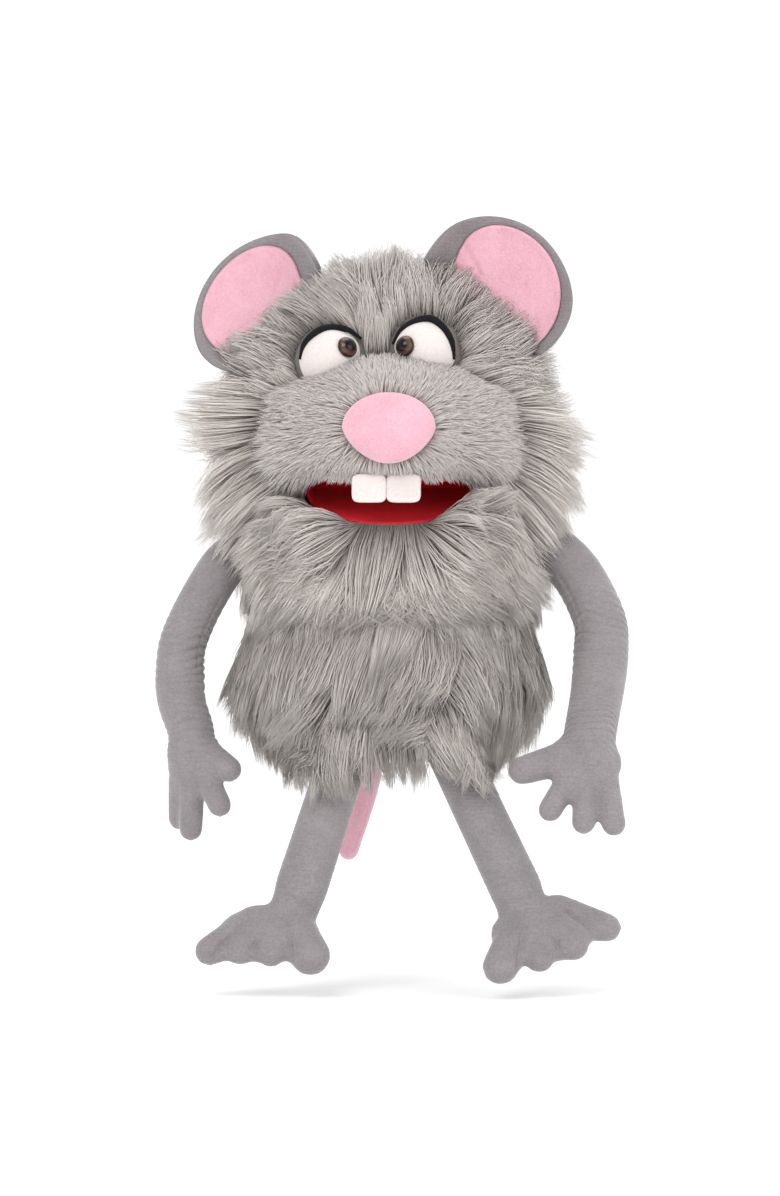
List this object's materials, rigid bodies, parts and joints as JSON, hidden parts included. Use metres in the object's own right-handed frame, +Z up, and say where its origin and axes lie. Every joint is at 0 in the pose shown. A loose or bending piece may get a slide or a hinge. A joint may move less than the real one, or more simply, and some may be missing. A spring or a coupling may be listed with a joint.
{
  "type": "hand puppet",
  "caption": "Shaggy grey rat hand puppet: fabric sleeve body, hand-worked mouth, floppy pink-lined ears, stuffed jointed-by-cloth arms, legs and tail.",
  "frame": {"origin": "centre of the lower edge of the sleeve's cuff, where the hand goes in", "axes": "+Z up along the sleeve towards the head, -Y the way the face looks, +X the puppet's own left"},
  "size_m": [0.2166, 0.1777, 0.3549],
  "materials": {
    "long_pile": "long shaggy warm-grey pile",
    "short_pile": "short brushed warm-grey pile",
    "grey_plush": "short cool-grey velboa",
    "pink_plush": "short pink velboa",
    "red_felt": "red felt",
    "white_fleece": "white plush",
    "black_felt": "black felt cord",
    "eye_plastic": "glossy brown and black",
    "lining_cloth": "plain woven lining",
    "wadding": "polyester stuffing",
    "board": "stiff sheet",
    "washer_plastic": "white moulded",
    "elastic": "covered elastic"
  },
  "bodies": {
    "torso": {"torso_pelt_front": "long_pile", "torso_pelt_back": "long_pile", "torso_wadding": "wadding", "torso_lining": "lining_cloth", "sleeve_cuff": "lining_cloth", "cuff_elastic": "elastic"},
    "neck_lower": {"neck_lining_lower": "lining_cloth"},
    "neck_upper": {"neck_lining_upper": "lining_cloth"},
    "head": {"head_pelt_front": "long_pile", "head_pelt_back": "long_pile", "head_foam": "wadding", "muzzle_pelt": "short_pile", "muzzle_wadding": "wadding", "upper_mouth_board": "board", "upper_mouth_lining": "red_felt", "finger_pocket": "lining_cloth", "mouth_hinge_tape": "lining_cloth", "nose_cover": "pink_plush", "nose_wadding": "wadding", "eye_white_left": "white_fleece", "eye_white_right": "white_fleece", "eyelid_left": "black_felt", "eyelid_right": "black_felt", "safety_eye_left": "eye_plastic", "safety_eye_right": "eye_plastic", "eye_washers": "washer_plastic", "teeth": "white_fleece"},
    "jaw": {"jaw_pelt": "long_pile", "chin_wadding": "wadding", "lower_mouth_board": "board", "lower_mouth_lining": "red_felt", "thumb_pocket": "lining_cloth"},
    "ear_left": {"ear_back_left": "grey_plush", "ear_front_left": "pink_plush"},
    "ear_right": {"ear_back_right": "grey_plush", "ear_front_right": "pink_plush"},
    "shoulder_left": {"shoulder_tab_left": "grey_plush"},
    "upper_arm_left": {"upper_arm_cover_left": "grey_plush", "upper_arm_filling_left": "wadding"},
    "forearm_left": {"forearm_cover_left": "grey_plush", "forearm_filling_left": "wadding"},
    "hand_left": {"hand_cover_left": "grey_plush"},
    "shoulder_right": {"shoulder_tab_right": "grey_plush"},
    "upper_arm_right": {"upper_arm_cover_right": "grey_plush", "upper_arm_filling_right": "wadding"},
    "forearm_right": {"forearm_cover_right": "grey_plush", "forearm_filling_right": "wadding"},
    "hand_right": {"hand_cover_right": "grey_plush"},
    "hip_left": {"hip_tab_left": "grey_plush"},
    "leg_left": {"leg_cover_left": "grey_plush", "leg_filling_left": "wadding"},
    "foot_left": {"foot_cover_left": "grey_plush"},
    "hip_right": {"hip_tab_right": "grey_plush"},
    "leg_right": {"leg_cover_right": "grey_plush", "leg_filling_right": "wadding"},
    "foot_right": {"foot_cover_right": "grey_plush"},
    "tail_root": {"tail_base": "pink_plush"},
    "tail_end": {"tail_tip": "pink_plush"}
  },
  "joints": [
    {"name": "head_turn", "type": "hinge", "parent": "torso", "child": "neck_lower", "pos_m": [0, 0, 0.078], "axis": [0, 0, 1], "range_deg": [-30, 30], "stiffness_Nm_per_rad": 0.4},
    {"name": "head_nod", "type": "hinge", "parent": "neck_lower", "child": "neck_upper", "pos_m": [0, 0, 0.078], "axis": [-1, 0, 0], "range_deg": [-15, 12], "stiffness_Nm_per_rad": 0.8},
    {"name": "head_tilt", "type": "hinge", "parent": "neck_upper", "child": "head", "pos_m": [0, 0, 0.078], "axis": [0, 1, 0], "range_deg": [-10, 10], "stiffness_Nm_per_rad": 0.8},
    {"name": "jaw_open", "type": "hinge", "parent": "head", "child": "jaw", "pos_m": [0, -0.008, 0.1085], "axis": [1, 0, 0], "range_deg": [-14, 18], "stiffness_Nm_per_rad": 0.3},
    {"name": "ear_left_flop", "type": "hinge", "parent": "head", "child": "ear_left", "pos_m": [0.03914, 0, 0.18782], "axis": [-0.7738, 0, 0.6334], "range_deg": [-30, 40], "stiffness_Nm_per_rad": 0.05},
    {"name": "ear_right_flop", "type": "hinge", "parent": "head", "child": "ear_right", "pos_m": [-0.04664, 0, 0.18054], "axis": [-0.6561, 0, -0.7547], "range_deg": [-60, 20], "stiffness_Nm_per_rad": 0.05},
    {"name": "arm_left_swing", "type": "hinge", "parent": "torso", "child": "shoulder_left", "pos_m": [0.066, -0.006, 0.074], "axis": [-1, 0, 0], "range_deg": [-60, 60], "stiffness_Nm_per_rad": 0.2},
    {"name": "arm_left_raise", "type": "hinge", "parent": "shoulder_left", "child": "upper_arm_left", "pos_m": [0.066, -0.006, 0.074], "axis": [0, -1, 0], "range_deg": [-3, 75], "stiffness_Nm_per_rad": 0.2},
    {"name": "elbow_left_bend", "type": "hinge", "parent": "upper_arm_left", "child": "forearm_left", "pos_m": [0.097, -0.022, 0.046], "axis": [-1, 0, 0], "range_deg": [-10, 60], "stiffness_Nm_per_rad": 0.1},
    {"name": "wrist_left_bend", "type": "hinge", "parent": "forearm_left", "child": "hand_left", "pos_m": [0.091, -0.058, -0.007], "axis": [-1, 0, 0], "range_deg": [-40, 30], "stiffness_Nm_per_rad": 0.05},
    {"name": "arm_right_swing", "type": "hinge", "parent": "torso", "child": "shoulder_right", "pos_m": [-0.066, -0.004, 0.074], "axis": [-1, 0, 0], "range_deg": [-40, 80], "stiffness_Nm_per_rad": 0.2},
    {"name": "arm_right_raise", "type": "hinge", "parent": "shoulder_right", "child": "upper_arm_right", "pos_m": [-0.066, -0.004, 0.074], "axis": [0, 1, 0], "range_deg": [-3, 75], "stiffness_Nm_per_rad": 0.2},
    {"name": "elbow_right_bend", "type": "hinge", "parent": "upper_arm_right", "child": "forearm_right", "pos_m": [-0.096, -0.012, 0.036], "axis": [-1, 0, 0], "range_deg": [-10, 70], "stiffness_Nm_per_rad": 0.1},
    {"name": "wrist_right_bend", "type": "hinge", "parent": "forearm_right", "child": "hand_right", "pos_m": [-0.092, -0.022, -0.007], "axis": [-1, 0, 0], "range_deg": [-40, 40], "stiffness_Nm_per_rad": 0.05},
    {"name": "leg_left_swing", "type": "hinge", "parent": "torso", "child": "hip_left", "pos_m": [0.023, -0.054, -0.004], "axis": [-1, 0, 0], "range_deg": [-12, 80], "stiffness_Nm_per_rad": 0.25},
    {"name": "leg_left_spread", "type": "hinge", "parent": "hip_left", "child": "leg_left", "pos_m": [0.023, -0.054, -0.004], "axis": [0, -1, 0], "range_deg": [-8, 15], "stiffness_Nm_per_rad": 0.25},
    {"name": "ankle_left_bend", "type": "hinge", "parent": "leg_left", "child": "foot_left", "pos_m": [0.058, -0.054, -0.078], "axis": [-1, 0, 0], "range_deg": [-25, 25], "stiffness_Nm_per_rad": 0.08},
    {"name": "leg_right_swing", "type": "hinge", "parent": "torso", "child": "hip_right", "pos_m": [-0.017, -0.054, -0.004], "axis": [-1, 0, 0], "range_deg": [-12, 80], "stiffness_Nm_per_rad": 0.25},
    {"name": "leg_right_spread", "type": "hinge", "parent": "hip_right", "child": "leg_right", "pos_m": [-0.017, -0.054, -0.004], "axis": [0, 1, 0], "range_deg": [-8, 25], "stiffness_Nm_per_rad": 0.25},
    {"name": "ankle_right_bend", "type": "hinge", "parent": "leg_right", "child": "foot_right", "pos_m": [-0.041, -0.054, -0.078], "axis": [-1, 0, 0], "range_deg": [-25, 25], "stiffness_Nm_per_rad": 0.08},
    {"name": "tail_wag", "type": "hinge", "parent": "torso", "child": "tail_root", "pos_m": [-0.004, 0.056, -0.002], "axis": [0, 1, 0], "range_deg": [-35, 35], "stiffness_Nm_per_rad": 0.03},
    {"name": "tail_curl", "type": "hinge", "parent": "tail_root", "child": "tail_end", "pos_m": [-0.01, 0.062, -0.036], "axis": [1, 0, 0], "range_deg": [-20, 60], "stiffness_Nm_per_rad": 0.02}
  ]
}
